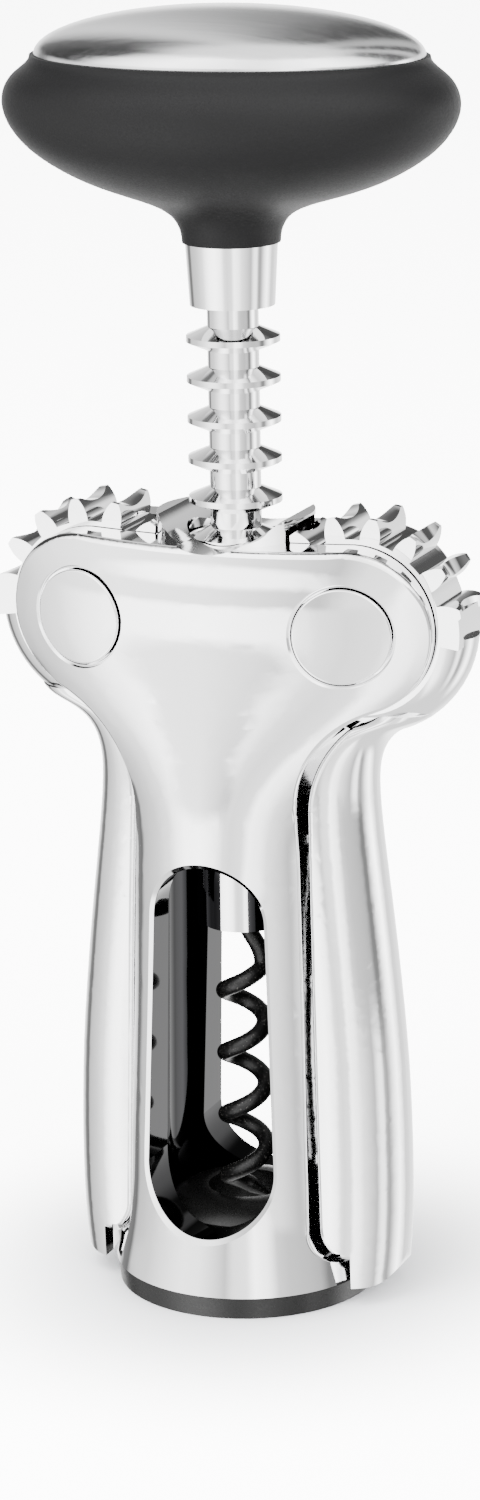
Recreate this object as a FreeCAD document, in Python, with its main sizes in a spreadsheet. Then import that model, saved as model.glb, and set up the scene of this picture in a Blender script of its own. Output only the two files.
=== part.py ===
import FreeCAD, Part
import math
import os
from FreeCAD import Placement, Rotation, Vector

# Winged (lever) corkscrew, millimetres, +Z up.
# Origin: centre of the ring that stands on the table.
# The levers swing in the XZ plane, and -Y is the front of the frame.

doc = FreeCAD.newDocument("lever_corkscrew")

DIMENSIONS = [
    ("pivot_x", 21.9, "lever pivot, distance from the middle"),
    ("pivot_z", 110.7, "lever pivot, height"),
    ("pivot_radius", 3.0, "lever pivot pin, radius"),
    ("pivot_fit", 0.05, "running clearance on the pivot pin, radial"),
    ("pivot_length", 16.8, "lever pivot pin, length"),
    ("cap_radius", 7.5, "decorative cap over a pivot pin"),
    ("cap_round", 0.3, "rounding of a cap's rim"),
    ("cap_bevel", 0.45, "bevel round a cap pocket"),
    ("cap_gap", 0.25, "groove round a cap"),
    ("cap_seat", 8.5, "floor of the cap pocket, distance from the middle plane"),
    ("ear_radius", 13.1, "rounded ear of a head plate, about the pivot"),
    ("neck_radius", 18.0, "hollow curve from ear to waist"),
    ("waist_x", 13.6, "half width of the frame's flat side at the waist"),
    ("foot_x", 15.3, "half width of the frame's flat side above the foot"),
    ("foot_z", 12.9, "height where the flat side starts"),
    ("foot_corner", 6.0, "rounded corner under the lever's tip"),
    ("edge_round", 1.0, "rounding of the frame's and levers' edges"),
    ("frame_bottom", 3.5, "underside of the frame"),
    ("frame_radius", 21.4, "frame at its underside"),
    ("head_top", 123.2, "top edge of the head plates in the middle"),
    ("plate_gap", 12.6, "space between the head plates"),
    ("gear_clearance", 18.4, "radius cut round each pivot for the lever's gear"),
    ("hub_radius", 12.4, "hub round the rack, outside"),
    ("hub_bore", 7.7, "hub round the rack, bore"),
    ("hub_top", 126.8, "tips of the hub's two horns"),
    ("hub_scoop", 14.0, "radius of the scoop between the horns"),
    ("hub_dip", 122.4, "lowest point of the scoop"),
    ("cavity_low", 13.5, "cork space, radius at its foot"),
    ("cavity_high", 12.2, "cork space, radius at its ceiling"),
    ("cavity_ceiling", 84.0, "cork space, ceiling"),
    ("spigot_seat", 17.2, "counterbore for the foil cutter"),
    ("spigot_seat_top", 7.2, "counterbore for the foil cutter, top"),
    ("window_bottom", 12.3, "window, bottom edge"),
    ("window_top", 72.9, "window, top edge"),
    ("window_low", 10.7, "window, half width near the bottom"),
    ("window_high", 9.3, "window, half width near the top"),
    ("window_bevel", 0.8, "bevel round the window"),
    ("ring_pitch", 6.2832, "rack rings, spacing"),
    ("ring_count", 12, "rack rings"),
    ("top_ring", 153.8, "highest rack ring, height"),
    ("ring_radius", 7.3, "rack rings, outside"),
    ("ring_rim", 0.45, "rack rings, half height of the rim"),
    ("ring_root", 1.85, "rack rings, half height at the core"),
    ("rack_core", 4.0, "rack sleeve between its rings"),
    ("rack_bore", 2.7, "rack sleeve, bore"),
    ("rack_top", 160.6, "rack sleeve, top"),
    ("collar_radius", 6.35, "collar under the rack"),
    ("collar_bottom", 59.6, "collar under the rack, underside"),
    ("collar_top", 82.3, "collar under the rack, top"),
    ("thrust_gap", 0.3, "end float between the turning and the sliding parts"),
    ("gear_pitch_radius", 15.7, "lever gear, pitch radius"),
    ("gear_tip", 17.4, "lever gear, tip radius"),
    ("gear_root", 13.9, "lever gear, root radius"),
    ("gear_tooth", 2.85, "lever gear, tooth thickness on the pitch circle"),
    ("gear_width", 11.8, "lever gear, width"),
    ("pressure_angle", 23.0, "slope of the rack's flanks"),
    ("lever_back", 17.9, "back of the lever's head, radius about the pivot"),
    ("saddle_depth", 1.1, "hollow along each gear tooth"),
    ("saddle_half_width", 4.9, "half width of that hollow"),
    ("lever_foot", 3.0, "lever's lower tip, height"),
    ("lever_toe", 27.6, "lever's lower tip, distance from the middle"),
    ("lever_corner", 4.2, "lever's lower outer corner"),
    ("lever_gap", 0.8, "gap between a lever and the frame's flat side"),
    ("lever_wall", 2.4, "wall of the hollow lever"),
    ("spindle_radius", 2.6, "spindle through the rack sleeve"),
    ("spindle_bottom", 60.4, "spindle, lower end"),
    ("spindle_top", 186.0, "spindle, upper end"),
    ("worm_radius", 4.55, "worm, outside"),
    ("wire_radius", 1.35, "worm, wire"),
    ("worm_pitch", 10.5, "worm, pitch"),
    ("worm_tip", 11.4, "worm, point"),
    ("ferrule_bottom", 159.0, "ferrule, lower end"),
    ("ferrule_top", 168.6, "ferrule, upper end"),
    ("ferrule_low", 6.6, "ferrule, radius at its lower end"),
    ("ferrule_high", 7.15, "ferrule, radius at its upper end"),
    ("dome_rim", 197.2, "steel dome, rim height"),
    ("dome_length", 30.9, "steel dome, half length"),
    ("dome_depth", 22.3, "steel dome, half depth"),
    ("dome_top", 204.6, "steel dome, top"),
    ("base_ring", 3.4, "foil cutter's flange, thickness"),
    ("base_radius", 20.9, "foil cutter's flange, radius on the table"),
    ("bottle_radius", 15.2, "opening for the bottle's lip"),
    ("bottle_depth", 5.0, "depth of the opening for the bottle's lip"),
    ("tip_hole", 6.3, "hole that the worm's point stands in"),
    ("plug_radius", 13.0, "black plug in the cork space"),
    ("plug_shoulder", 12.4, "plug, height of its edge"),
    ("plug_crown", 15.0, "plug, height at the hole"),
    ("spigot_radius", 16.9, "foil cutter's spigot in the frame"),
    ("spigot_top", 6.9, "foil cutter's spigot, top"),
    ("wheel_circle", 17.4, "cutting wheel axles, distance from the middle"),
    ("wheel_radius", 2.8, "cutting wheel"),
    ("wheel_thickness", 0.7, "cutting wheel, thickness"),
    ("wheel_height", 2.3, "cutting wheel, mid height"),
    ("axle_radius", 0.7, "cutting wheel axle"),
]

sheet = doc.addObject("Spreadsheet::Sheet", "dimensions")
for row, (alias, number, note) in enumerate(DIMENSIONS, start=1):
    sheet.set(f"A{row}", str(number))
    sheet.setAlias(f"A{row}", alias)
    sheet.set(f"B{row}", note)
doc.recompute()

NODES = []


def size(alias):
    """The number in the sheet's cell with this alias."""
    return float(sheet.get(alias))


def make(kind, name, **bindings):
    """A document object whose properties follow expressions on the sheet."""
    item = doc.addObject(kind, name)
    for prop, formula in bindings.items():
        words = formula.replace("$", "dimensions.")
        item.setExpression(prop.replace("__", "."), words)
    return item


def solid_feature(name, shape):
    """A document object for a shape made with Part's own functions."""
    item = doc.addObject("Part::Feature", name)
    item.Shape = shape
    return item


def node(item, label, placement=None):
    """Mark an object as one of the corkscrew's pieces."""
    item.Label = label
    if placement is not None:
        item.Placement = placement
    NODES.append(item)
    return item


def cut(name, base, *tools):
    """Cut the tools from the base, one after another."""
    for number, tool in enumerate(tools):
        last = number == len(tools) - 1
        step = doc.addObject("Part::Cut", name if last else f"{name}_step_{number}")
        step.Base = base
        step.Tool = tool
        base = step
    return base


def fuse(name, *items):
    """One solid from several that overlap."""
    joined = doc.addObject("Part::MultiFuse", name)
    joined.Shapes = list(items)
    joined.Refine = True
    return joined


def common(name, first, second):
    """The space that two solids share."""
    shared = doc.addObject("Part::Common", name)
    shared.Base = first
    shared.Tool = second
    return shared


def rod(name, radius, bottom, top):
    """A cylinder on the Z axis, between two heights."""
    return make("Part::Cylinder", name, Radius=radius, Height=f"{top} - ({bottom})",
                Placement__Base__z=bottom)


def cross_rod(name, radius, half_length, x, z):
    """A cylinder along Y, even about the middle plane."""
    item = make("Part::Cylinder", name, Radius=radius, Height=f"2 * ({half_length})",
                Placement__Base__x=x, Placement__Base__y=half_length, Placement__Base__z=z)
    item.Placement.Rotation = Rotation(Vector(1, 0, 0), 90)
    return item


def at(x, z):
    """A point in the middle plane."""
    return Vector(x, 0, z)


def polar(centre, radius, degrees):
    """A point in the middle plane, by angle from +X towards +Z."""
    angle = math.radians(degrees)
    return at(centre.x + radius * math.cos(angle), centre.z + radius * math.sin(angle))


def line(start, end):
    return Part.makeLine(start, end)


def arc(start, through, end):
    return Part.Arc(start, through, end).toShape()


def slab(edges, half_width):
    """A solid of an outline in the middle plane, even about that plane."""
    wire = Part.Wire(Part.__sortEdges__(edges))
    face = Part.Face(wire)
    face.translate(Vector(0, half_width, 0))
    return face.extrude(Vector(0, -2 * half_width, 0))


def oval(centre_x, height, half_x, half_y):
    """A level ellipse whose seam always faces +X, so that lofts don't twist."""
    circle = Part.Circle(Vector(0, 0, 0), Vector(0, 0, 1), 1.0).toShape().toNurbs()
    grow = FreeCAD.Matrix()
    grow.scale(half_x, half_y, 1.0)
    grow.move(Vector(centre_x, 0, height))
    return Part.Wire(circle.transformGeometry(grow).Edges)


def oval_loft(sections):
    """A smooth solid through level ellipses: centre x, height, half x, half y."""
    return Part.makeLoft([oval(*section) for section in sections], True, False)


def ring_profile(points):
    """A solid turned about Z from corners given as radius and height."""
    corners = [Vector(radius, 0, height) for radius, height in points]
    wire = Part.makePolygon(corners + corners[:1])
    return Part.Face(wire).revolve(Vector(0, 0, 0), Vector(0, 0, 1), 360)


# ---------------------------------------------------------------- frame

pivot = at(size("pivot_x"), size("pivot_z"))


def neck_centre():
    """Centre of the hollow curve that touches both the ear and the waist."""
    reach = size("waist_x") + size("neck_radius")
    span = size("ear_radius") + size("neck_radius")
    drop = math.sqrt(span ** 2 - (reach - pivot.x) ** 2)
    return at(reach, pivot.z - drop)


def mirrored(point):
    return at(-point.x, point.z)


def both_sides(start, through, end):
    """An arc and its mirror image."""
    return [arc(start, through, end), arc(mirrored(start), mirrored(through), mirrored(end))]


def frame_outline():
    """The frame seen from the front: foot, flat sides, waist, ears and top edge."""
    neck = neck_centre()
    towards_neck = math.degrees(math.atan2(neck.z - pivot.z, neck.x - pivot.x))
    ear_low = polar(pivot, size("ear_radius"), towards_neck)
    ear_side = polar(pivot, size("ear_radius"), 0)
    ear_top = polar(pivot, size("ear_radius"), 90)
    waist = at(size("waist_x"), neck.z)
    neck_mid = polar(neck, size("neck_radius"), (180 + towards_neck + 180) / 2)
    foot_side = at(size("foot_x"), size("foot_z"))
    corner = size("foot_corner")
    corner_centre = at(foot_side.x + corner, foot_side.z)
    foot_top = at(corner_centre.x, foot_side.z - corner)
    edge = size("frame_radius") + 2.0
    foot_edge = at(edge, foot_top.z)
    ground = at(edge, size("frame_bottom"))
    edges = [arc(ear_top, at(0, size("head_top")), mirrored(ear_top))]
    edges += both_sides(ear_low, ear_side, ear_top)
    edges += both_sides(waist, neck_mid, ear_low)
    edges += both_sides(foot_top, polar(corner_centre, corner, 225), foot_side)
    for start, end in ((foot_side, waist), (foot_edge, foot_top), (ground, foot_edge)):
        edges += [line(start, end), line(mirrored(start), mirrored(end))]
    edges.append(line(ground, mirrored(ground)))
    return edges


# Level sections of the frame: height, half width, half depth.
FRAME_SECTIONS = [
    (3.5, 21.4, 21.4), (8.0, 20.5, 20.5), (15.0, 19.6, 19.6), (23.5, 19.25, 19.25),
    (32.0, 18.9, 18.9), (40.0, 18.55, 18.55), (48.0, 18.2, 18.2), (56.5, 17.9, 17.9),
    (65.0, 17.6, 17.6), (70.0, 17.43, 17.43), (74.0, 17.3, 17.3), (78.0, 17.6, 17.15),
    (82.0, 18.4, 17.0), (86.0, 20.6, 16.7), (90.0, 24.0, 16.4), (94.0, 28.4, 16.1),
    (98.0, 32.8, 15.8), (102.0, 36.4, 15.55), (106.0, 38.9, 15.3), (111.0, 40.3, 15.15),
    (117.0, 40.6, 15.05), (128.0, 40.6, 15.0),
]


def pillow():
    """The frame's rounded surface: a cone below that widens into an oval head."""
    return oval_loft([(0, height, half_x, half_y) for height, half_x, half_y in FRAME_SECTIONS])


def long_edges(shape, lowest):
    """The edges round a solid's outline: all but the seams, the straight and the low ones."""
    chosen = []
    for edge in shape.Edges:
        box = edge.optimalBoundingBox()
        seam = box.YLength < 0.01
        straight = isinstance(edge.Curve, Part.Line)
        if box.ZMax > lowest and not seam and not straight:
            chosen.append(edge)
    return chosen


def window_outline():
    """A tall slot, a little wider at the bottom."""
    low, high = size("window_low"), size("window_high")
    low_z = size("window_bottom") + low
    high_z = size("window_top") - high
    edges = [arc(at(-low, low_z), at(0, low_z - low), at(low, low_z))]
    edges.append(arc(at(high, high_z), at(0, high_z + high), at(-high, high_z)))
    edges.append(line(at(low, low_z), at(high, high_z)))
    edges.append(line(at(-low, low_z), at(-high, high_z)))
    return edges


def bevel_window(shape):
    """Bevel the outer edges of both windows."""
    rim = []
    for edge in shape.Edges:
        box = edge.BoundBox
        beside = box.ZMin > size("window_bottom") - 1 and box.ZMax < size("window_top") + 1
        outside = min(abs(box.YMin), abs(box.YMax)) > size("cavity_low") + 0.2
        same_side = box.YMin * box.YMax > 0
        narrow = max(abs(box.XMin), abs(box.XMax)) < size("window_low") + 0.5
        if beside and outside and same_side and narrow:
            rim.append(edge)
    return shape.makeChamfer(size("window_bevel"), rim)


skin = solid_feature("frame_skin", pillow())
outline = solid_feature("frame_outline", slab(frame_outline(), 30))
window = solid_feature("window_cut", slab(window_outline(), 30))
cavity = make("Part::Cone", "cavity_cut", Radius1="$cavity_low", Radius2="$cavity_high",
              Height="$cavity_ceiling - $frame_bottom + 1", Placement__Base__z="$frame_bottom - 1")
hub = rod("hub_form", "$hub_radius", "$cavity_ceiling + 4", "$hub_top")
scoop = cross_rod("hub_scoop_cut", "$hub_scoop", "30", "0", "$hub_dip + $hub_scoop")
bore = rod("hub_bore_cut", "$hub_bore", "$cavity_ceiling - 2", "$hub_top + 2")
seat = rod("spigot_cut", "$spigot_seat", "0", "$spigot_seat_top")
tools = [bore, seat]
for side, x in (("left", "-$pivot_x"), ("right", "$pivot_x")):
    tools.append(cross_rod(f"{side}_gear_space", "$gear_clearance", "$plate_gap / 2", x, "$pivot_z"))
    tools.append(cross_rod(f"{side}_pin_hole", "$pivot_radius", "15", x, "$pivot_z"))
    for face, direction in (("front", -1), ("rear", 1)):
        pocket = make("Part::Cylinder", f"{face}_{side}_pocket", Radius="$cap_radius + $cap_gap",
                      Height="10", Placement__Base__x=x, Placement__Base__z="$pivot_z",
                      Placement__Base__y=f"{direction} * $cap_seat")
        pocket.Placement.Rotation = Rotation(Vector(1, 0, 0), -90 * direction)
        tools.append(pocket)
doc.recompute()


def pocket_rims(shape):
    """The outer edges of the pockets for the caps."""
    rims = []
    for edge in shape.Edges:
        box = edge.BoundBox
        beside = abs(box.Center.z - pivot.z) < 8.5 and abs(abs(box.Center.x) - pivot.x) < 8.5
        small = max(box.XLength, box.ZLength) < 18
        tilted = box.YLength > 0.3 and max(box.XLength, box.ZLength) > 6.5
        outside = min(abs(box.YMin), abs(box.YMax)) > size("cap_seat") + 0.5
        if beside and small and tilted and outside:
            rims.append(edge)
    return rims


def frame_shape():
    """The casting: rounded outline, cork space, windows, hub, gear slots and cap pockets."""
    sharp = skin.Shape.common(outline.Shape)
    form = sharp.makeFillet(size("edge_round"), long_edges(sharp, size("frame_bottom") + 0.5))
    shell = form.cut([cavity.Shape, window.Shape]).fuse(hub.Shape.cut(scoop.Shape))
    cast = shell.cut(scoop.Shape).cut([tool.Shape for tool in tools])
    cast = cast.makeChamfer(size("cap_bevel"), pocket_rims(cast))
    return bevel_window(cast)


node(solid_feature("frame_cast", frame_shape()), "frame")

# ------------------------------------------------- pivot pins and caps

for side, x in (("left", "-$pivot_x"), ("right", "$pivot_x")):
    pin = cross_rod(f"{side}_pin", "$pivot_radius", "$pivot_length / 2", x, "$pivot_z")
    node(pin, f"{side}_pivot_pin")
    for face, direction in (("front", -1), ("rear", 1)):
        disc = make("Part::Cylinder", f"{face}_{side}_disc", Radius="$cap_radius", Height="9",
                    Placement__Base__x=x, Placement__Base__z="$pivot_z",
                    Placement__Base__y=f"{direction} * ($cap_seat + 0.05)")
        disc.Placement.Rotation = Rotation(Vector(1, 0, 0), -90 * direction)
        crowned = common(f"{face}_{side}_cap", disc, skin)
        doc.recompute()
        rim = [edge for edge in crowned.Shape.Edges
               if edge.optimalBoundingBox().YLength > 0.3 and edge.optimalBoundingBox().XLength > 7]
        cap = crowned.Shape.makeFillet(size("cap_round"), rim)
        node(solid_feature(f"{face}_{side}_cap_body", cap), f"{face}_{side}_pivot_cap")

# --------------------------------------------------------------- levers

# Level sections of a lever's blade: height, outer x, half width.
BLADE_SECTIONS = [
    (3.0, 27.2, 10.0), (10.0, 27.8, 10.2), (20.0, 28.0, 10.2), (30.0, 27.8, 10.1),
    (45.0, 26.9, 9.8), (60.0, 25.4, 9.4), (72.0, 24.0, 9.0), (80.0, 23.2, 8.7),
    (86.0, 23.1, 8.3), (90.0, 24.1, 7.7), (93.5, 27.2, 6.9), (97.0, 33.2, 5.95),
]
BLADE_ROUNDNESS = 0.95
# The crowned rim runs from just under the last tooth, clockwise, in degrees.
HEAD_START = 4
TEETH = 9
# Beyond these the outline only has to stay clear of the blade.
BLADE_REACH = 24
BLADE_SIDE = 30
HEAD_SPAN = 98


def blade_loft(inset):
    """The blade's rounded surface, or its hollow when an inset is given."""
    sections = []
    for height, outer, half_width in BLADE_SECTIONS:
        half_depth = BLADE_ROUNDNESS * half_width
        centre = outer - half_depth
        sections.append((centre, height, half_depth - inset, half_width - inset))
    return oval_loft(sections)


def blade_outline():
    """Where the broad part of a lever may be, seen from the front."""
    gap = size("lever_gap")
    neck = neck_centre()
    hollow = size("neck_radius") - gap
    clear = size("ear_radius") + gap
    towards_pivot = math.degrees(math.atan2(pivot.z - neck.z, pivot.x - neck.x))
    waist = at(neck.x - hollow, neck.z)
    meet = meeting_point(neck, hollow, pivot, clear)
    meet_angle = math.degrees(math.atan2(meet.z - pivot.z, meet.x - pivot.x))
    meet_on_neck = math.degrees(math.atan2(meet.z - neck.z, meet.x - neck.x))
    shoulder = polar(pivot, clear, -HEAD_START)
    shoulder_out = polar(pivot, BLADE_REACH, -HEAD_START)
    corner = at(size("foot_x") + size("foot_corner"), size("foot_z"))
    inside = size("foot_corner") - gap
    side = at(corner.x - inside, corner.z)
    ledge = at(corner.x, corner.z - inside)
    foot, round_foot = size("lever_foot"), size("lever_corner")
    heel = at(ledge.x, foot)
    toe = at(size("lever_toe") - round_foot, foot)
    toe_centre = at(toe.x, foot + round_foot)
    toe_side = at(size("lever_toe"), toe_centre.z)
    bulge = at(shoulder_out.x, BLADE_SIDE)
    edges = [line(side, waist)]
    edges.append(arc(waist, polar(neck, hollow, (180 + meet_on_neck) / 2), meet))
    edges.append(arc(meet, polar(pivot, clear, (meet_angle - HEAD_START) / 2), shoulder))
    edges += [line(shoulder, shoulder_out), line(shoulder_out, bulge), line(bulge, toe_side)]
    edges.append(arc(toe_side, polar(toe_centre, round_foot, -45), toe))
    edges += [line(toe, heel), line(heel, ledge), arc(ledge, polar(corner, inside, 225), side)]
    return edges


def meeting_point(first, first_radius, second, second_radius):
    """The left-hand point where two circles in the middle plane cross."""
    span = second - first
    distance = span.Length
    along = (distance ** 2 + first_radius ** 2 - second_radius ** 2) / (2 * distance)
    across = math.sqrt(max(first_radius ** 2 - along ** 2, 0))
    unit = span / distance
    normal = at(-unit.z, unit.x)
    options = [first + unit * along + normal * sign * across for sign in (-1, 1)]
    return min(options, key=lambda point: point.x)


def involute_angle(radius):
    """Angle, in degrees, that an involute has turned through at a radius."""
    base = size("gear_pitch_radius") * math.cos(math.radians(size("pressure_angle")))
    ratio = max(radius / base, 1.0)
    steep = math.sqrt(ratio ** 2 - 1)
    return math.degrees(steep - math.atan(steep))


def tooth(middle):
    """One gear tooth with involute flanks, centred on an angle about the pivot."""
    pitch_radius = size("gear_pitch_radius")
    half_pitch = math.degrees(size("gear_tooth") / 2 / pitch_radius)
    reference = half_pitch + involute_angle(pitch_radius)
    tip, root = size("gear_tip"), size("gear_root") - 0.5
    halves = [reference - involute_angle(radius) for radius in (root, pitch_radius, tip)]
    radii = (root, pitch_radius, tip)
    left = [polar(pivot, radius, middle + half) for radius, half in zip(radii, halves)]
    right = [polar(pivot, radius, middle - half) for radius, half in zip(radii, halves)]
    edges = [arc(*left), arc(*right), line(left[0], right[0])]
    edges.append(arc(left[2], polar(pivot, tip, middle), right[2]))
    return slab(edges, size("gear_width") / 2)


def first_tooth():
    """Angle of the tooth that sits in the rack's gap beside the pivot."""
    pitch = size("ring_pitch")
    rings_down = math.ceil((size("top_ring") - pivot.z) / pitch) - 1
    gap_height = size("top_ring") - (rings_down + 0.5) * pitch
    return 180 - math.degrees((gap_height - pivot.z) / size("gear_pitch_radius"))


def crowned_head():
    """The lever's round head: a disc whose rim is crowned, turned about the pivot."""
    back, clear = size("lever_back"), size("ear_radius") + size("lever_gap")
    half = size("gear_width") / 2
    inner = Vector(pivot.x + 2, half, pivot.z)
    shoulder = Vector(pivot.x + clear, half, pivot.z)
    far_inner, far_shoulder = (Vector(point.x, -half, point.z) for point in (inner, shoulder))
    crown = arc(shoulder, Vector(pivot.x + back, 0, pivot.z), far_shoulder)
    edges = [line(inner, shoulder), crown, line(far_shoulder, far_inner), line(far_inner, inner)]
    turned = Part.Face(Part.Wire(edges)).revolve(pivot, Vector(0, 1, 0), HEAD_SPAN)
    turned.rotate(pivot, Vector(0, 1, 0), HEAD_START)
    return turned


def narrow_block():
    """The plain stretch of rim between the last tooth and the blade."""
    last = first_tooth() - 7 * gear_step()
    tip = size("gear_tip") - 0.5
    start, end = last, -8
    edges = [line(pivot, polar(pivot, tip, start)), line(polar(pivot, tip, end), pivot)]
    edges.append(arc(polar(pivot, tip, start), polar(pivot, tip, (start + end) / 2),
                     polar(pivot, tip, end)))
    return slab(edges, size("gear_width") / 2)


def gear_step():
    """Angle from one gear tooth to the next."""
    return math.degrees(size("ring_pitch") / size("gear_pitch_radius"))


def saddle():
    """What is taken out of the teeth so that they cup the round rack."""
    tip, depth = size("gear_tip"), size("saddle_depth")
    half = size("saddle_half_width")
    left, right = (Vector(pivot.x + tip, side * half, pivot.z) for side in (-1, 1))
    middle = Vector(pivot.x + tip - depth, 0, pivot.z)
    above = [Vector(pivot.x + tip + 1, side * (half + 1), pivot.z) for side in (1, -1)]
    edges = [arc(left, middle, right), line(right, above[0]), line(*above), line(above[1], left)]
    return Part.Face(Part.Wire(edges)).revolve(pivot, Vector(0, 1, 0), 360)


def lever_core():
    """The lever's gear and round head, bored for the pivot pin."""
    half = size("gear_width") / 2
    disc = Part.makeCylinder(size("gear_root"), 2 * half, pivot + Vector(0, half, 0),
                             Vector(0, -1, 0))
    angles = [first_tooth() + gear_step() * (1 - number) for number in range(TEETH)]
    teeth = Part.makeCompound([tooth(angle) for angle in angles]).cut(saddle())
    hole = Part.makeCylinder(size("pivot_radius") + size("pivot_fit"), 4 * half,
                             pivot + Vector(0, 2 * half, 0), Vector(0, -1, 0))
    return disc.fuse([crowned_head(), narrow_block()] + teeth.Solids).cut(hole)


def blade_edges(blade):
    """The blade's two long inner edges. Rounding them also rounds what runs on from them."""
    return [edge for edge in blade.Edges
            if edge.Length > size("neck_radius") * 2 and edge.BoundBox.YLength > 0.5
            and edge.BoundBox.XLength < 4]


def lever_blade():
    """The blade that the hand presses: hollow behind, and clear of the frame's round foot."""
    blade = blade_loft(0).common(slab(blade_outline(), 15))
    blade = blade.makeFillet(size("edge_round"), blade_edges(blade))
    reach = Part.makeBox(30, 30, 62, Vector(10, -15, 13))
    hollow = blade_loft(size("lever_wall")).common(reach)
    foot_room = Part.makeCylinder(size("frame_radius") + size("lever_gap"), 10, Vector(0, 0, -1))
    return blade.cut(hollow).cut(foot_room)


right_shape = lever_core().fuse(lever_blade())
node(solid_feature("lever_right", right_shape), "right_lever")
left_shape = right_shape.mirror(Vector(0, 0, 0), Vector(1, 0, 0))
node(solid_feature("lever_left", left_shape), "left_lever")

# ------------------------------------------------------ rack and collar


def rack_profile():
    """Corners of the ring rack, radius and height, from the bottom up."""
    core, rim = size("rack_core"), size("ring_radius")
    bottom = size("collar_bottom") + 3 + size("thrust_gap")
    points = [(size("rack_bore"), bottom), (core, bottom)]
    for number in reversed(range(int(size("ring_count")))):
        middle = size("top_ring") - number * size("ring_pitch")
        points += [(core, middle - size("ring_root")), (rim, middle - size("ring_rim"))]
        points += [(rim, middle + size("ring_rim")), (core, middle + size("ring_root"))]
    points += [(core, size("rack_top")), (size("rack_bore"), size("rack_top"))]
    return points


node(solid_feature("rack", ring_profile(rack_profile())), "rack_sleeve")

collar_wall = rod("collar_wall", "$collar_radius", "$collar_bottom", "$collar_top")
collar_bore = rod("collar_bore", "$rack_core + 0.02", "$collar_bottom + 3", "$collar_top + 1")
collar_hole = rod("collar_hole", "$rack_bore", "$collar_bottom - 1", "$collar_top + 1")
collar = cut("collar", collar_wall, collar_bore, collar_hole)
node(collar, "rack_collar")

# ------------------------------------------------------ spindle and worm

spindle_rod = rod("spindle_rod", "$spindle_radius", "$spindle_bottom", "$spindle_top")
spindle_socket = rod("spindle_socket", "1.95", "$spindle_bottom - 1", "$spindle_bottom + 12")
pin_slot = make("Part::Cylinder", "spindle_pin_slot", Radius="0.8", Height="8",
                Placement__Base__x="-4", Placement__Base__z="$spindle_bottom + 8")
pin_slot.Placement.Rotation = Rotation(Vector(0, 1, 0), 90)
node(cut("spindle_cut", spindle_rod, spindle_socket, pin_slot), "spindle")

worm_pin_rod = make("Part::Cylinder", "worm_pin_rod", Radius="0.78", Height="5",
                    Placement__Base__x="-2.5", Placement__Base__z="$spindle_bottom + 8")
worm_pin_rod.Placement.Rotation = Rotation(Vector(0, 1, 0), 90)
node(worm_pin_rod, "worm_cross_pin")


def worm_shape():
    """A right-handed wire spiral under a straight shank, ground to a point."""
    wire_radius = size("wire_radius")
    coil = size("worm_radius") - wire_radius
    pitch = size("worm_pitch")
    start_z, end_z = size("worm_tip") + 2.0, size("spindle_bottom") - 8.0
    turns = (end_z - start_z) / pitch
    start_angle = math.radians(202.3) - 2 * math.pi * (48.0 - start_z) / pitch
    points = []
    steps = int(turns * 12)
    for number in range(steps + 1):
        angle = start_angle + 2 * math.pi * turns * number / steps
        height = start_z + turns * pitch * number / steps
        points.append(Vector(coil * math.cos(angle), coil * math.sin(angle), height))
    lead = start_angle + 2 * math.pi * turns
    for share, rise in ((0.86, 2.2), (0.45, 4.6), (0.10, 7.2)):
        angle = lead + rise * 0.14
        points.append(Vector(share * coil * math.cos(angle), share * coil * math.sin(angle),
                             end_z + rise))
    points.append(Vector(0, 0, end_z + 10.5))
    points.append(Vector(0, 0, end_z + 14.5))
    spine = Part.BSplineCurve()
    spine.interpolate(points)
    path = Part.Wire(spine.toShape())
    heading = spine.tangent(spine.FirstParameter)[0]
    section = Part.Wire(Part.Circle(points[0], heading, wire_radius).toShape())
    coiled = path.makePipeShell([section], True, True)
    tip = Part.makeCone(wire_radius, 0.25, 3.2, points[0], heading * -1)
    return coiled.fuse(tip)


worm = worm_shape()
shank = Part.makeCylinder(1.9, 10.0, Vector(0, 0, size("spindle_bottom") + 1.5))
cross_hole = Part.makeCylinder(0.8, 8, Vector(-4, 0, size("spindle_bottom") + 8), Vector(1, 0, 0))
node(solid_feature("worm_body", worm.fuse(shank).cut(cross_hole)), "worm")

# --------------------------------------------------------------- handle

ferrule_cone = make("Part::Cone", "ferrule_cone", Radius1="$ferrule_low", Radius2="$ferrule_high",
                    Height="$ferrule_top - $ferrule_bottom", Placement__Base__z="$ferrule_bottom")
ferrule_bore = rod("ferrule_bore", "$rack_core + 0.3", "$ferrule_bottom - 1", "$rack_top + 0.9")
ferrule_hole = rod("ferrule_hole", "$spindle_radius + 0.01", "$rack_top", "$ferrule_top + 1")
node(cut("ferrule_cut", ferrule_cone, ferrule_bore, ferrule_hole), "ferrule")

washer_disc = rod("washer_disc", "$rack_core + 0.2", "$rack_top + 0.35", "$rack_top + 0.85")
washer_hole = rod("washer_hole", "$spindle_radius + 0.02", "$rack_top", "$rack_top + 2")
node(cut("washer_cut", washer_disc, washer_hole), "thrust_washer")

# Level sections of the grip: height, half length, half depth.
GRIP_SECTIONS = [
    (168.7, 7.6, 7.6), (170.2, 7.8, 7.8), (172.4, 8.9, 8.6), (174.4, 12.2, 10.4),
    (176.2, 18.0, 13.6), (178.4, 24.4, 17.4), (181.0, 29.4, 20.8), (184.8, 34.0, 24.0),
    (189.7, 36.3, 25.5), (194.0, 34.6, 24.5), (197.2, 31.6, 22.9),
]
CORE_SECTIONS = [
    (172.0, 5.0, 5.0), (176.0, 8.0, 7.0), (180.0, 20.0, 13.0), (184.5, 27.0, 18.0),
    (190.0, 30.0, 20.0), (196.2, 28.0, 19.6),
]


def level_loft(sections, inset=0.0):
    return oval_loft([(0, height, half_x - inset, half_y - inset)
                      for height, half_x, half_y in sections])


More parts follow.
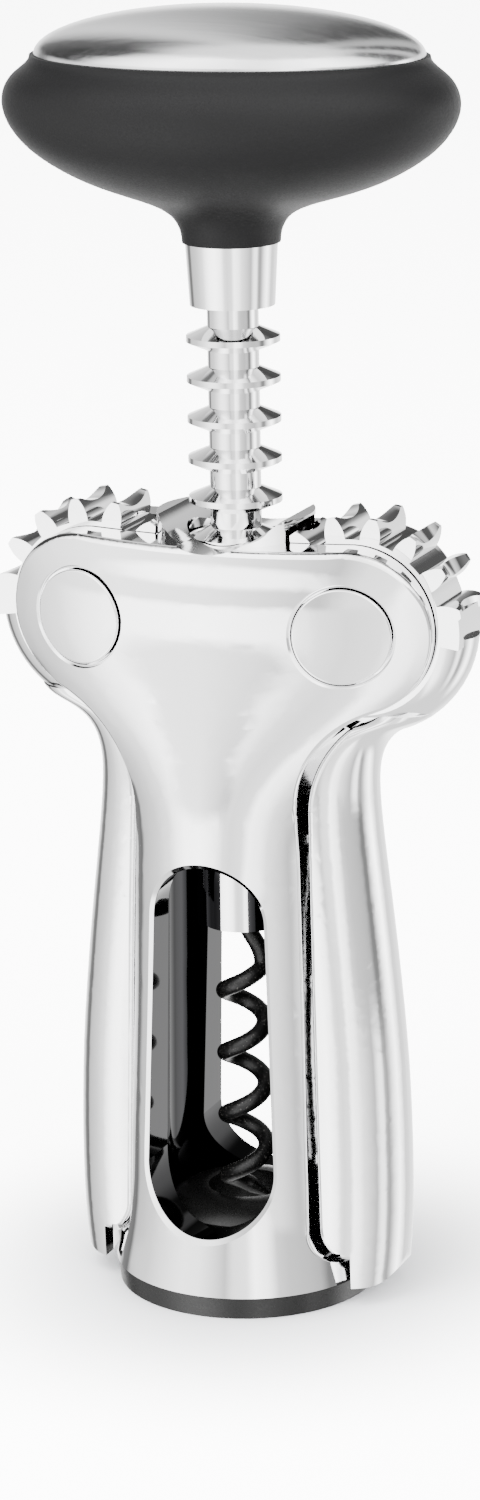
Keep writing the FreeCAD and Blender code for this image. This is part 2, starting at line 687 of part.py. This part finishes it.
core_form = solid_feature("core_form", level_loft(CORE_SECTIONS))
core_space = solid_feature("core_space", level_loft(CORE_SECTIONS, -0.02))
grip_form = solid_feature("grip_form", level_loft(GRIP_SECTIONS))
spindle_way = rod("spindle_way", "$spindle_radius + 0.02", "$ferrule_top - 1", "$spindle_top + 4")
grip_recess = solid_feature("grip_recess", level_loft([(196.15, 28.0, 19.6), (199.0, 28.0, 19.6)]))
node(cut("grip_cut", grip_form, core_space, spindle_way, grip_recess), "handle_grip")

nut_pocket = rod("nut_pocket", "5.2", "$spindle_top - 5.2", "198")
node(cut("core_cut", core_form, spindle_way, nut_pocket), "handle_core")

nut_block = make("Part::Prism", "nut_block", Polygon="6", Circumradius="4.6", Height="3.6",
                 Placement__Base__z="$spindle_top - 4.2")
nut_hole = rod("nut_hole", "$spindle_radius + 0.01", "$spindle_top - 6", "$spindle_top + 4")
node(cut("nut_cut", nut_block, nut_hole), "spindle_nut")
nut_washer = rod("nut_washer_disc", "5.0", "$spindle_top - 5.15", "$spindle_top - 4.25")
nut_washer_hole = rod("nut_washer_hole", "$spindle_radius + 0.02", "$spindle_top - 6", "$spindle_top")
node(cut("nut_washer_cut", nut_washer, nut_washer_hole), "nut_washer")


def dome_shape():
    """A thin steel cap on the knob, an even oval dome."""
    rise = size("dome_top") - size("dome_rim")
    outside = dome_solid(size("dome_length"), size("dome_depth"), rise)
    inside = dome_solid(size("dome_length") - 1.0, size("dome_depth") - 1.0, rise - 1.0)
    return outside.cut(inside)


def dome_solid(half_length, half_depth, rise):
    ball = Part.makeSphere(1.0, Vector(0, 0, 0), Vector(0, 0, 1), 0, 90, 360).toNurbs()
    grow = FreeCAD.Matrix()
    grow.scale(half_length, half_depth, rise)
    grow.move(Vector(0, 0, size("dome_rim") + 0.05))
    return ball.transformGeometry(grow)


node(solid_feature("dome", dome_shape()), "handle_dome")

# ---------------------------------------------------------- foil cutter

flange = make("Part::Cone", "flange", Radius1="$base_radius", Radius2="$frame_radius - 0.1",
              Height="$base_ring")
lip_space = rod("lip_space", "$bottle_radius", "-1", "$bottle_depth")
flange_tools = [lip_space]


def plug_shape():
    """The cutter's spigot, with a low dome that closes the foot of the cork space."""
    hole, edge = size("tip_hole"), size("plug_radius")
    shoulder, crown = size("plug_shoulder"), size("plug_crown")
    outside = [(size("bottle_radius"), size("base_ring")),
               (size("spigot_radius"), size("base_ring")),
               (size("spigot_radius"), size("spigot_top")), (edge, size("spigot_top")),
               (edge, shoulder)]
    inside = [(hole, crown), (hole, size("bottle_depth") + 2.2),
              (size("bottle_radius"), size("bottle_depth"))]
    corners = [at(*point) for point in outside]
    rest = [at(*point) for point in inside]
    edges = [line(start, end) for start, end in zip(corners, corners[1:])]
    edges.append(arc(corners[-1], at((hole + edge) / 2 + 0.9, (crown + shoulder) / 2 + 0.55), rest[0]))
    edges += [line(start, end) for start, end in zip(rest, rest[1:] + corners[:1])]
    return Part.Face(Part.Wire(edges)).revolve(Vector(0, 0, 0), Vector(0, 0, 1), 360)


spigot = solid_feature("spigot", plug_shape())
spigot_tools = []
wheel_names = ("front", "right", "rear", "left")
for number, name in enumerate(wheel_names):
    turn = math.radians(45 + 90 * number - 90)
    x = f"{math.cos(turn):.6f} * $wheel_circle"
    y = f"{math.sin(turn):.6f} * $wheel_circle"

    def upright(label, radius, bottom, top):
        """A cylinder on this wheel's axle line."""
        item = rod(label, radius, bottom, top)
        item.setExpression("Placement.Base.x", x.replace("$", "dimensions."))
        item.setExpression("Placement.Base.y", y.replace("$", "dimensions."))
        return item

    low, high = "$wheel_height - $wheel_thickness / 2", "$wheel_height + $wheel_thickness / 2"
    flange_tools.append(upright(f"wheel_space_{name}", "$wheel_radius + 0.3", f"{low} - 0.3",
                                f"{high} + 0.3"))
    flange_tools.append(upright(f"axle_hole_{name}", "$axle_radius", "0.8", "$base_ring + 1"))
    spigot_tools.append(upright(f"axle_socket_{name}", "$axle_radius", "0.8", "5.4"))
    axle = upright(f"axle_{name}", "$axle_radius", "0.8", "$base_ring")
    node(axle, f"wheel_axle_{number + 1}")
    disc = upright(f"wheel_disc_{name}", "$wheel_radius", low, high)
    hole = upright(f"wheel_hole_{name}", "$axle_radius + 0.05", "0", "6")
    node(cut(f"wheel_{name}", disc, hole), f"cutting_wheel_{number + 1}")
node(cut("flange_cut", flange, *flange_tools), "foil_cutter_base")
node(cut("spigot_cut_out", spigot, *spigot_tools), "foil_cutter_spigot")

# ---------------------------------------------------------------- write

doc.recompute()
for item in doc.Objects:
    if "Invalid" in item.State or "Error" in item.State:
        raise RuntimeError(f"{item.Name} failed: {item.State}")
os.makedirs("parts", exist_ok=True)
for item in NODES:
    shape = item.Shape
    if shape.isNull() or not shape.isValid() or not shape.Solids:
        raise RuntimeError(f"{item.Label} has no valid solid")
    shape.exportStep(f"parts/{item.Label}.step")
    box = shape.BoundBox
    print(f"{item.Label:20s} solids {len(shape.Solids)} volume {shape.Volume:9.1f}"
          f"  x {box.XMin:.2f} {box.XMax:.2f}  y {box.YMin:.2f} {box.YMax:.2f}"
          f"  z {box.ZMin:.2f} {box.ZMax:.2f}")
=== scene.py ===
import math

import bpy
from mathutils import Matrix, Vector


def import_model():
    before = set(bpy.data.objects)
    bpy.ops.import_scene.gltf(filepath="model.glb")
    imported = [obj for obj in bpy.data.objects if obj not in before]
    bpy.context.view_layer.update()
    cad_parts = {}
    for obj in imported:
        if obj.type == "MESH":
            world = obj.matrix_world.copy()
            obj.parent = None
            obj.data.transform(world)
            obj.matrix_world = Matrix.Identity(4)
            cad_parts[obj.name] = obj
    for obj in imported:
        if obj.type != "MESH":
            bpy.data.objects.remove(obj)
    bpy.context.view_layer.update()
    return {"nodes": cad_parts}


# Looks for the winged corkscrew: metres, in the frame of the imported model.

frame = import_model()
NODES = frame["nodes"]


# ------------------------------------------------------------- materials


class Tree:
    """A short way to build a material's nodes. Patterns follow the object's own coordinates."""

    def __init__(self, name):
        self.material = bpy.data.materials.new(name)
        self.material.use_nodes = True
        self.tree = self.material.node_tree
        self.shader = self.tree.nodes["Principled BSDF"]
        self.place = self.add("ShaderNodeTexCoord").outputs["Object"]

    def add(self, kind, **settings):
        """A node, with settings that are its properties or, failing that, its inputs."""
        node = self.tree.nodes.new(kind)
        for name, value in settings.items():
            if hasattr(node, name):
                setattr(node, name, value)
            else:
                node.inputs[name].default_value = value
        return node

    def link(self, source, target):
        self.tree.links.new(source, target)

    def set(self, **values):
        """Even values on the shader's own sockets."""
        for name, value in values.items():
            self.shader.inputs[name.replace("_", " ")].default_value = value

    def noise(self, scale, detail=4.0, roughness=0.55, stretch=(1, 1, 1)):
        """A 0 to 1 noise pattern; the scale is per metre."""
        mapping = self.add("ShaderNodeMapping")
        mapping.inputs["Scale"].default_value = stretch
        self.link(self.place, mapping.inputs["Vector"])
        noise = self.add("ShaderNodeTexNoise", Scale=scale, Detail=detail, Roughness=roughness)
        self.link(mapping.outputs["Vector"], noise.inputs["Vector"])
        return noise.outputs["Fac"]

    def spread(self, source, low, high, start=0.3, end=0.7):
        """Turns a 0 to 1 pattern into a range of numbers."""
        spread = self.add("ShaderNodeMapRange")
        spread.inputs["From Min"].default_value = start
        spread.inputs["From Max"].default_value = end
        spread.inputs["To Min"].default_value = low
        spread.inputs["To Max"].default_value = high
        self.link(source, spread.inputs["Value"])
        return spread.outputs["Result"]

    def tint(self, source, dark, light, start=0.3, end=0.7):
        """The base colour, from one tone to another along a pattern."""
        ramp = self.add("ShaderNodeValToRGB")
        first, last = ramp.color_ramp.elements
        first.position, last.position = start, end
        first.color, last.color = (*dark, 1), (*light, 1)
        self.link(source, ramp.inputs["Fac"])
        self.link(ramp.outputs["Color"], self.shader.inputs["Base Color"])

    def bump(self, source, strength, distance):
        bump = self.add("ShaderNodeBump", Strength=strength, Distance=distance)
        self.link(source, bump.inputs["Height"])
        self.link(bump.outputs["Normal"], self.shader.inputs["Normal"])


# Noise per metre in the polished plate, and its bump's strength and depth in metres.
PLATE_PATCHES = 38.0
PLATE_RIPPLE = 160.0
PLATE_RIPPLE_BUMP = (0.02, 0.0004)


def chrome(name, light=0.93, smooth=0.045):
    """Polished plate: almost even, with a faint ripple and a little dullness."""
    tree = Tree(name)
    tree.set(Metallic=1.0)
    patches = tree.noise(PLATE_PATCHES)
    tree.tint(patches, (light - 0.03,) * 3, (light, light, light + 0.005))
    tree.link(tree.spread(patches, smooth, smooth + 0.03), tree.shader.inputs["Roughness"])
    tree.bump(tree.noise(PLATE_RIPPLE, 3.0), *PLATE_RIPPLE_BUMP)
    return tree.material


# Where the frame's cork space is, in metres.
CAVITY_RADIUS = 0.0136
CAVITY_TOP = 0.0835
# The window is a slot with round ends: half widths, and the heights of the ends' centres.
WINDOW_LOW, WINDOW_HIGH = 0.0107, 0.0093
WINDOW_LOW_Z, WINDOW_HIGH_Z = 0.0230, 0.0636
# How sharply the painted near-black inside turns into plate, and the same past a window's side.
TONE_EDGE = 0.0001
JAMB_EDGE = (0.00004, 0.00008)
# The painted near-black of the cork space, also on the windows' sides as a painted reflection of
# it.
PAINTED_DARK_INSIDE = (0.012, 0.012, 0.013)
FRAME_PLATE = (0.93, 0.93, 0.935)


def frame_chrome():
    """Polished plate outside, painted near-black inside the cork space and on the windows' sides.

    The near-black on the windows' sides is a painted reflection of the dark cork space.
    """
    tree = Tree("frame_chrome")
    tree.set(Metallic=1.0)
    split = tree.add("ShaderNodeSeparateXYZ")
    tree.link(tree.place, split.inputs["Vector"])

    def length(first, second):
        pair = tree.add("ShaderNodeCombineXYZ")
        tree.link(first, pair.inputs["X"])
        tree.link(second, pair.inputs["Y"])
        measure = tree.add("ShaderNodeVectorMath", operation="LENGTH")
        tree.link(pair.outputs["Vector"], measure.inputs[0])
        return measure.outputs["Value"]

    def maths(operation, first, second):
        node = tree.add("ShaderNodeMath", operation=operation)
        tree.link(first, node.inputs[0])
        tree.link(second, node.inputs[1])
        return node.outputs["Value"]

    across, height = split.outputs["X"], split.outputs["Z"]
    radius = length(across, split.outputs["Y"])
    outside = tree.spread(radius, 0.0, 1.0, CAVITY_RADIUS, CAVITY_RADIUS + TONE_EDGE)
    # How far a point is from the slot's middle line, less the slot's half width there.
    line = tree.spread(height, WINDOW_LOW_Z, WINDOW_HIGH_Z, WINDOW_LOW_Z, WINDOW_HIGH_Z)
    half = tree.spread(height, WINDOW_LOW, WINDOW_HIGH, WINDOW_LOW_Z, WINDOW_HIGH_Z)
    beyond = maths("SUBTRACT", length(across, maths("SUBTRACT", height, line)), half)
    off_jamb = tree.spread(beyond, 0.0, 1.0, *JAMB_EDGE)
    above = tree.spread(height, 0.0, 1.0, CAVITY_TOP, CAVITY_TOP + TONE_EDGE)
    # 0 where the near-black is painted: the cork space, and the windows' sides as a painted
    # reflection.
    unpainted_plate = maths("MAXIMUM", maths("MULTIPLY", outside, off_jamb), above)
    tree.tint(unpainted_plate, PAINTED_DARK_INSIDE, FRAME_PLATE, 0.0, 1.0)
    patches = tree.noise(PLATE_PATCHES)
    tree.link(tree.spread(patches, 0.04, 0.07), tree.shader.inputs["Roughness"])
    tree.bump(tree.noise(PLATE_RIPPLE, 3.0), *PLATE_RIPPLE_BUMP)
    return tree.material


def turned_steel(name, light=0.62, smooth=0.22):
    """Plain machined steel with fine tool marks round the axis."""
    tree = Tree(name)
    tree.set(Metallic=1.0)
    marks = tree.noise(900.0, 3.0, 0.6, (0.05, 0.05, 3.0))
    tree.tint(marks, (light - 0.05,) * 3, (light + 0.04,) * 3)
    tree.link(tree.spread(marks, smooth, smooth + 0.12), tree.shader.inputs["Roughness"])
    tree.bump(marks, 0.08, 0.0002)
    return tree.material


def satin_dome():
    """Brushed and lightly polished steel, brushed along the knob."""
    tree = Tree("satin_dome_steel")
    tree.set(Metallic=1.0)
    strokes = tree.noise(700.0, 4.0, 0.6, (0.03, 2.0, 2.0))
    tree.tint(strokes, (0.74, 0.745, 0.75), (0.82, 0.82, 0.825))
    tree.link(tree.spread(strokes, 0.16, 0.24), tree.shader.inputs["Roughness"])
    tree.bump(strokes, 0.05, 0.0001)
    return tree.material


def soft_touch():
    """Soft-touch rubber: charcoal with a fine grain."""
    tree = Tree("soft_touch_black")
    tree.set(Specular_IOR_Level=0.16, Sheen_Weight=0.02, Sheen_Roughness=0.4)
    patches = tree.noise(30.0)
    tree.tint(patches, (0.0045, 0.0045, 0.0048), (0.0065, 0.0065, 0.0068))
    grain = tree.noise(3200.0, 2.0, 0.7)
    tree.link(tree.spread(grain, 0.47, 0.6), tree.shader.inputs["Roughness"])
    tree.bump(grain, 0.22, 0.00012)
    return tree.material


def moulded_black(name, smooth=0.3):
    """Hard black moulding with a light texture."""
    tree = Tree(name)
    tree.set(Specular_IOR_Level=0.3)
    patches = tree.noise(45.0)
    tree.tint(patches, (0.003, 0.003, 0.003), (0.005, 0.005, 0.005))
    grain = tree.noise(2200.0, 2.0)
    tree.link(tree.spread(grain, smooth, smooth + 0.12), tree.shader.inputs["Roughness"])
    tree.bump(grain, 0.12, 0.0001)
    return tree.material


def worm_coating():
    """Black non-stick coating with pale specks."""
    tree = Tree("non_stick_coating")
    tree.set(Specular_IOR_Level=0.3)
    specks = tree.noise(2600.0, 2.0, 0.75)
    tree.tint(specks, (0.003, 0.003, 0.003), (0.12, 0.115, 0.11), 0.62, 0.74)
    tree.link(tree.spread(specks, 0.3, 0.5), tree.shader.inputs["Roughness"])
    tree.bump(specks, 0.35, 0.00015)
    return tree.material


def paint(material, *names):
    """Give CAD nodes a material."""
    for name in names:
        slots = NODES[name].data.materials
        if len(slots) == 0:
            slots.append(material)
        for index in range(len(slots)):
            slots[index] = material


CHROME = chrome("polished_chrome")
FRAME_CHROME = frame_chrome()
RACK_CHROME = chrome("rack_chrome", 0.9, 0.05)
STEEL = turned_steel("turned_steel")
WHEEL_STEEL = turned_steel("wheel_steel", 0.7, 0.18)
DOME = satin_dome()
GRIP = soft_touch()
CORE = moulded_black("core_plastic", 0.4)
CUTTER = moulded_black("cutter_plastic", 0.25)
WORM = worm_coating()

WHEELS = range(1, 5)
CAPS = [f"{face}_{side}_pivot_cap" for face in ("front", "rear") for side in ("left", "right")]
paint(FRAME_CHROME, "frame")
paint(CHROME, "left_lever", "right_lever", *CAPS)
paint(RACK_CHROME, "rack_sleeve", "rack_collar", "ferrule")
paint(STEEL, "left_pivot_pin", "right_pivot_pin", "spindle", "worm_cross_pin", "thrust_washer",
      "spindle_nut", "nut_washer", *(f"wheel_axle_{number}" for number in WHEELS))
paint(WHEEL_STEEL, *(f"cutting_wheel_{number}" for number in WHEELS))
paint(DOME, "handle_dome")
paint(GRIP, "handle_grip")
paint(CORE, "handle_core")
paint(CUTTER, "foil_cutter_base", "foil_cutter_spigot")
paint(WORM, "worm")

# ---------------------------------------------------------------- studio

FLOOR_SIZE = 8.0
FLOOR_LEVEL = -0.0001
# The floor's tone as light falls on the object from it, and as the camera sees it far away.
FLOOR_TONE = (0.8, 0.8, 0.8, 1)
FLOOR_SEEN = (4.0, 4.0, 4.0, 1)
# A painted contact shadow: the floor is greyer round the foot, in linear colour, over this range of
# distances.
FLOOR_PAINTED_SHADOW = (0.95, 0.96, 0.985, 1)
FLOOR_SHADE_REACH = (0.018, 0.075)


def floor():
    """A pale floor with a painted shadow round the foot. Chrome mirrors the tent instead, which is
    as pale.
    """
    bpy.ops.mesh.primitive_plane_add(size=FLOOR_SIZE, location=(0, 0, FLOOR_LEVEL))
    plane = bpy.context.object
    plane.name = "studio_floor"
    plane.visible_glossy = False
    tree = Tree("pale_floor")
    tree.set(Roughness=0.6, Specular_IOR_Level=0.2)
    reach = tree.add("ShaderNodeVectorMath", operation="LENGTH")
    tree.link(tree.place, reach.inputs[0])
    open_floor = tree.spread(reach.outputs["Value"], 0.0, 1.0, *FLOOR_SHADE_REACH)
    # The painted shadow: greyer near the foot, fading to the pale floor further out.
    shade = tree.add("ShaderNodeValToRGB")
    near, far = shade.color_ramp.elements
    near.color, far.color = FLOOR_PAINTED_SHADOW, FLOOR_SEEN
    shade.color_ramp.interpolation = "EASE"
    tree.link(open_floor, shade.inputs["Fac"])
    mix = tree.add("ShaderNodeMix", data_type="RGBA")
    seen = tree.add("ShaderNodeLightPath").outputs["Is Camera Ray"]
    colours = [socket for socket in mix.inputs if socket.type == "RGBA"]
    tree.link(seen, mix.inputs["Factor"])
    colours[0].default_value = FLOOR_TONE
    tree.link(shade.outputs["Color"], colours[1])
    result = next(socket for socket in mix.outputs if socket.type == "RGBA")
    tree.link(result, tree.shader.inputs["Base Color"])
    plane.data.materials.append(tree.material)


MIDDLE = (0, 0, 0.1)
SOFTBOX_PLACE = (-0.4, -0.3, 1.4)
SOFTBOX_SIZE = 1.0
SOFTBOX_POWER = 25


def softbox(name, place, aim, width, height, power):
    """A rectangular area light that points at a place on the object."""
    data = bpy.data.lights.new(name, "AREA")
    data.shape = "RECTANGLE"
    data.size, data.size_y = width, height
    data.energy = power
    lamp = bpy.data.objects.new(name, data)
    lamp.location = place
    lamp.visible_glossy = False
    direction = Vector(aim) - Vector(place)
    lamp.rotation_euler = direction.to_track_quat("-Z", "Y").to_euler()
    bpy.context.scene.collection.objects.link(lamp)


TENT_PEAK = 12.0
TENT_TOP = 2.2
TENT_FLOOR = 1.6
# The elevations, in degrees, over which one part of the tent turns into the next above it.
FLOOR_TO_TENT = (-62.0, -40.0)
LOW_TO_SIDES = (-13.5, -9.5)
SIDES_TO_SHOULDERS = (4.0, 13.0)
SHOULDERS_TO_TOP = (58.0, 72.0)
# The tent, as brightness by azimuth in degrees: 0 is behind the camera, and the right is positive.
TENT_SIDES = [
    (-180, 4.0), (-152, 1.6), (-142, 0.35), (-130, 0.3), (-124, 1.3), (-100, 1.5), (-80, 2.3),
    (-60, 3.2), (-45, 3.0), (-30, 1.9), (-21, 1.2), (-14, 2.3), (-2, 2.6), (5, 5.0), (16, 3.8),
    (25, 1.5), (35, 1.15), (55, 0.95), (64, 0.8), (72, 0.3), (78, 0.3), (84, 1.3), (96, 5.0),
    (103, 6.5), (112, 3.5), (122, 1.6), (150, 2.4), (180, 4.0),
]
# The same below the horizon, which upright walls mirror.
TENT_LOW = [
    (-180, 4.0), (-152, 1.6), (-142, 0.3), (-130, 0.2), (-124, 1.0), (-100, 1.5), (-82, 2.3),
    (-70, 4.2), (-60, 5.5), (-45, 6.0), (-30, 4.6), (-21, 2.4), (-14, 2.0), (-2, 2.3), (5, 4.6),
    (16, 3.8), (25, 2.4), (35, 1.8), (50, 1.0), (60, 3.4), (66, 3.4), (72, 0.9), (78, 0.6),
    (84, 1.3), (96, 4.0), (103, 5.5), (112, 3.5), (122, 1.6), (150, 2.4), (180, 4.0),
]
# The same for light that comes from above the object's shoulders.
TENT_SHOULDERS = [
    (-180, 0.5), (-168, 1.6), (-155, 0.2), (-125, 0.06), (-96, 0.06), (-84, 3.0), (-50, 6.0),
    (-10, 3.5), (30, 6.0), (70, 3.0), (86, 0.3), (112, 0.1), (118, 0.9), (128, 1.4), (134, 0.12),
    (146, 0.1), (150, 1.0), (158, 0.8), (163, 0.08), (172, 0.12), (180, 0.5),
]


def curve_of(tree, source, points, scale):
    """A float curve node through (position, brightness) points, with the brightness scaled down."""
    node = tree.nodes.new("ShaderNodeFloatCurve")
    curve = node.mapping.curves[0]
    while len(curve.points) < len(points):
        curve.points.new(0.5, 0.5)
    for point, (place, value) in zip(curve.points, points):
        point.location = (place, value / scale)
        point.handle_type = "VECTOR"
    node.mapping.update()
    tree.links.new(source, node.inputs["Value"])
    return node.outputs["Value"]


def world():
    """A studio tent whose brightness changes with the direction round the object."""
    studio = bpy.data.worlds.new("studio_tent")
    bpy.context.scene.world = studio
    studio.use_nodes = True
    tree = studio.node_tree
    background = tree.nodes["Background"]

    def maths(operation, first, second=None):
        node = tree.nodes.new("ShaderNodeMath")
        node.operation = operation
        for socket, value in zip(node.inputs, (first, second)):
            if isinstance(value, (int, float)):
                socket.default_value = value
            elif value is not None:
                tree.links.new(value, socket)
        return node.outputs["Value"]

    direction = tree.nodes.new("ShaderNodeTexCoord").outputs["Generated"]
    turned = tree.nodes.new("ShaderNodeVectorRotate")
    turned.rotation_type = "Z_AXIS"
    turned.inputs["Angle"].default_value = -CAMERA_TURN
    tree.links.new(direction, turned.inputs["Vector"])
    split = tree.nodes.new("ShaderNodeSeparateXYZ")
    tree.links.new(turned.outputs["Vector"], split.inputs["Vector"])
    east, north, up = split.outputs
    azimuth = maths("ARCTAN2", east, maths("MULTIPLY", north, -1.0))
    share = maths("ADD", maths("DIVIDE", azimuth, 2 * math.pi), 0.5)
    height = maths("MULTIPLY", maths("ARCSINE", up), 180 / math.pi)

    def bands(points):
        """Brightness all the way round, through (azimuth, brightness) points."""
        places = [((angle + 180) / 360, value) for angle, value in points]
        return maths("MULTIPLY", curve_of(tree, share, places, TENT_PEAK), TENT_PEAK)

    def change(elevations, below, above):
        """One light below these elevations and another above them."""
        blend = tree.nodes.new("ShaderNodeMapRange")
        blend.interpolation_type = "SMOOTHSTEP"
        blend.inputs["From Min"].default_value = elevations[0]
        blend.inputs["From Max"].default_value = elevations[1]
        tree.links.new(height, blend.inputs["Value"])
        mix = tree.nodes.new("ShaderNodeMix")
        mix.data_type = "FLOAT"
        tree.links.new(blend.outputs["Result"], mix.inputs["Factor"])
        for socket, value in ((mix.inputs["A"], below), (mix.inputs["B"], above)):
            if isinstance(value, float):
                socket.default_value = value
            else:
                tree.links.new(value, socket)
        return mix.outputs["Result"]

    light = change(LOW_TO_SIDES, bands(TENT_LOW), bands(TENT_SIDES))
    light = change(SIDES_TO_SHOULDERS, light, bands(TENT_SHOULDERS))
    light = change(SHOULDERS_TO_TOP, light, TENT_TOP)
    light = change(FLOOR_TO_TENT, TENT_FLOOR, light)
    tree.links.new(light, background.inputs["Strength"])
    background.inputs["Color"].default_value = (1, 1, 1, 1)


# ---------------------------------------------------------------- camera

CAMERA_PLACE = (0.25604, -0.62413, 0.27196)
CAMERA_TURN = math.radians(22.305)
CAMERA_TILT = math.radians(90 - 15.09)
CAMERA_ROLL = math.radians(-0.985)
CAMERA_LENS = 106.17
CAMERA_SHIFT_Y = -0.0091
CAMERA_NEAREST = 0.01


def camera():
    """The photograph's viewpoint, in front, to the right and a little above."""
    data = bpy.data.cameras.new("camera")
    data.lens = CAMERA_LENS
    data.shift_y = CAMERA_SHIFT_Y
    data.clip_start = CAMERA_NEAREST
    item = bpy.data.objects.new("camera", data)
    turn = Matrix.Rotation(CAMERA_TURN, 4, "Z") @ Matrix.Rotation(CAMERA_TILT, 4, "X")
    turn = turn @ Matrix.Rotation(CAMERA_ROLL, 4, "Z")
    item.matrix_world = Matrix.Translation(CAMERA_PLACE) @ turn
    bpy.context.scene.collection.objects.link(item)
    bpy.context.scene.camera = item


camera()
floor()
world()
softbox("top", SOFTBOX_PLACE, MIDDLE, SOFTBOX_SIZE, SOFTBOX_SIZE, SOFTBOX_POWER)
